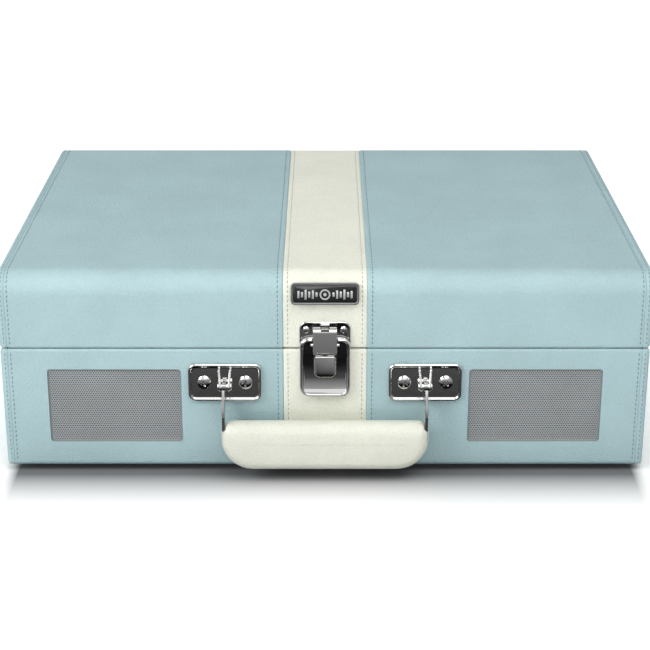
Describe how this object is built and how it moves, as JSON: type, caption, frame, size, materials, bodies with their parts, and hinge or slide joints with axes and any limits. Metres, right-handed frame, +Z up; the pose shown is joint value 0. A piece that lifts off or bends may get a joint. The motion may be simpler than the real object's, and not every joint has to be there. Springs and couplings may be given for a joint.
{
  "type": "suitcase record player",
  "caption": "Leatherette-covered suitcase record player with a hinged lid, a swinging carry handle, a front latch, perforated speaker grilles and a belt-drive deck inside.",
  "frame": {"origin": "the middle of the whole object's footprint, on the plane that its rubber feet stand on", "axes": "+X to the right as seen from the front, +Y towards the hinges at the back, +Z up; the handle and latch are at -Y"},
  "size_m": [0.356, 0.279, 0.117],
  "materials": {
    "blue_leatherette": "fine pebble grain, satin",
    "cream_leatherette": "fine pebble grain, satin",
    "fibreboard": "pressed fibreboard, matte",
    "lining_cloth": "glued flock lining, matte",
    "black_rubber": "matte",
    "zinc_screws": "zinc plated",
    "deck_plastic": "fine texture, matte",
    "silver_grille": "silver paint, satin, perforated",
    "stamped_steel": "stamped and plated, satin",
    "paper_cone": "coated paper, matte",
    "circuit_board": "solder mask, satin",
    "black_plastic": "satin black",
    "nickel": "nickel plated",
    "chrome_steel": "polished chrome plate",
    "brass": "turned",
    "cast_platter": "black paint, satin",
    "felt": "felt, matte",
    "satin_aluminium": "satin anodised",
    "red_cartridge": "gloss",
    "badge_black": "gloss black with a grey frame"
  },
  "bodies": {
    "base": {"base_front_board": "fibreboard", "base_back_board": "fibreboard", "base_side_boards": "fibreboard", "base_bottom_board": "fibreboard", "base_leather_blue": "blue_leatherette", "base_leather_stripe": "cream_leatherette", "rubber_feet": "black_rubber", "foot_screws": "zinc_screws", "deck_plate": "deck_plastic", "deck_screws": "zinc_screws", "speaker_grilles": "silver_grille", "speaker_baskets": "stamped_steel", "speaker_cones": "paper_cone", "amp_board": "circuit_board", "socket_plate": "black_plastic", "rca_sockets": "nickel", "dc_socket": "black_plastic", "jack_sockets": "black_plastic", "motor": "stamped_steel", "drive_belt": "black_rubber", "spindle": "chrome_steel", "bearing_housing": "brass", "arm_base": "black_plastic", "arm_rest": "black_plastic", "latch_base_plate": "chrome_steel", "handle_brackets": "chrome_steel", "bracket_pins": "chrome_steel", "hinge_lower_leaves": "nickel", "hinge_pins": "nickel", "case_screws": "chrome_steel"},
    "lid": {"lid_top_board": "fibreboard", "lid_front_board": "fibreboard", "lid_rim_boards": "fibreboard", "lid_leather_blue": "blue_leatherette", "lid_leather_stripe": "cream_leatherette", "lid_lining": "lining_cloth", "badge": "badge_black", "latch_catch_plate": "chrome_steel", "lid_screws": "chrome_steel", "hinge_upper_leaves": "nickel"},
    "latch_lever": {"latch_lever": "chrome_steel"},
    "latch_claw": {"latch_claw": "chrome_steel"},
    "handle": {"handle_strap": "chrome_steel", "handle_grip": "cream_leatherette"},
    "platter": {"platter": "cast_platter", "slip_mat": "felt"},
    "pulley": {"motor_pulley": "brass"},
    "arm_yoke": {"arm_yoke": "black_plastic"},
    "tonearm": {"arm_tube": "satin_aluminium", "headshell": "black_plastic", "cartridge": "red_cartridge", "counterweight": "satin_aluminium"},
    "arm_clip": {"arm_clip": "black_plastic"},
    "cue_lever": {"cue_lever": "satin_aluminium"},
    "lift_bar": {"lift_bar": "satin_aluminium"},
    "volume_knob": {"volume_knob": "black_plastic"},
    "mode_knob": {"mode_knob": "black_plastic"},
    "speed_slider": {"speed_slider": "black_plastic"},
    "auto_stop_slider": {"auto_stop_slider": "black_plastic"},
    "adapter_45": {"adapter_45": "satin_aluminium"}
  },
  "joints": [
    {"name": "lid_hinge", "type": "hinge", "parent": "base", "child": "lid", "pos_m": [0, 0.1369, 0.074], "axis": [-1, 0, 0], "range_deg": [0, 95]},
    {"name": "handle_hinge", "type": "hinge", "parent": "base", "child": "handle", "pos_m": [0, -0.1267, 0.0536], "axis": [-1, 0, 0], "range_deg": [0, 100]},
    {"name": "latch_lever_hinge", "type": "hinge", "parent": "base", "child": "latch_lever", "pos_m": [0, -0.1237, 0.077], "axis": [-1, 0, 0], "range_deg": [0, 75]},
    {"name": "latch_claw_hinge", "type": "hinge", "parent": "latch_lever", "child": "latch_claw", "pos_m": [0, -0.1291, 0.0745], "axis": [-1, 0, 0], "range_deg": [-105, 0]},
    {"name": "platter_spin", "type": "hinge", "parent": "base", "child": "platter", "pos_m": [-0.035, 0.006, 0.08], "axis": [0, 0, -1], "continuous": true},
    {"name": "pulley_spin", "type": "hinge", "parent": "base", "child": "pulley", "pos_m": [-0.08642, 0.06728, 0.074], "axis": [0, 0, -1], "continuous": true},
    {"name": "arm_swing", "type": "hinge", "parent": "base", "child": "arm_yoke", "pos_m": [0.125, 0.082, 0.0939], "axis": [0, 0, -1], "range_deg": [0, 48]},
    {"name": "arm_tilt", "type": "hinge", "parent": "arm_yoke", "child": "tonearm", "pos_m": [0.125, 0.082, 0.0939], "axis": [-1, 0, 0], "range_deg": [0, 3]},
    {"name": "arm_clip_hinge", "type": "hinge", "parent": "base", "child": "arm_clip", "pos_m": [0.134, -0.046, 0.0991], "axis": [0, -1, 0], "range_deg": [0, 105]},
    {"name": "cue_lever_hinge", "type": "hinge", "parent": "base", "child": "cue_lever", "pos_m": [0.151, 0.069, 0.0785], "axis": [-1, 0, 0], "range_deg": [0, 40]},
    {"name": "lift_slide", "type": "slide", "parent": "base", "child": "lift_bar", "axis": [0, 0, 1], "range_m": [0, 0.0024]},
    {"name": "volume_turn", "type": "hinge", "parent": "base", "child": "volume_knob", "pos_m": [0.152, -0.092, 0.0705], "axis": [0, 0, -1], "range_deg": [0, 280]},
    {"name": "mode_turn", "type": "hinge", "parent": "base", "child": "mode_knob", "pos_m": [0.152, -0.056, 0.0705], "axis": [0, 0, -1], "range_deg": [0, 60]},
    {"name": "speed_slide", "type": "slide", "parent": "base", "child": "speed_slider", "axis": [0, 1, 0], "range_m": [0, 0.016]},
    {"name": "auto_stop_slide", "type": "slide", "parent": "base", "child": "auto_stop_slider", "axis": [0, 1, 0], "range_m": [0, 0.006]},
    {"name": "adapter_lift", "type": "slide", "parent": "base", "child": "adapter_45", "axis": [0, 0, 1], "range_m": [0, 0.02]}
  ],
  "couplings": [
    {"joint": "latch_claw_hinge", "follows": "latch_lever_hinge", "ratio": -1.4},
    {"joint": "pulley_spin", "follows": "platter_spin", "ratio": 12},
    {"joint": "lift_slide", "follows": "cue_lever_hinge", "m_per_rad": 0.0033},
    {"joint": "arm_tilt", "follows": "cue_lever_hinge", "ratio": 0.075}
  ]
}
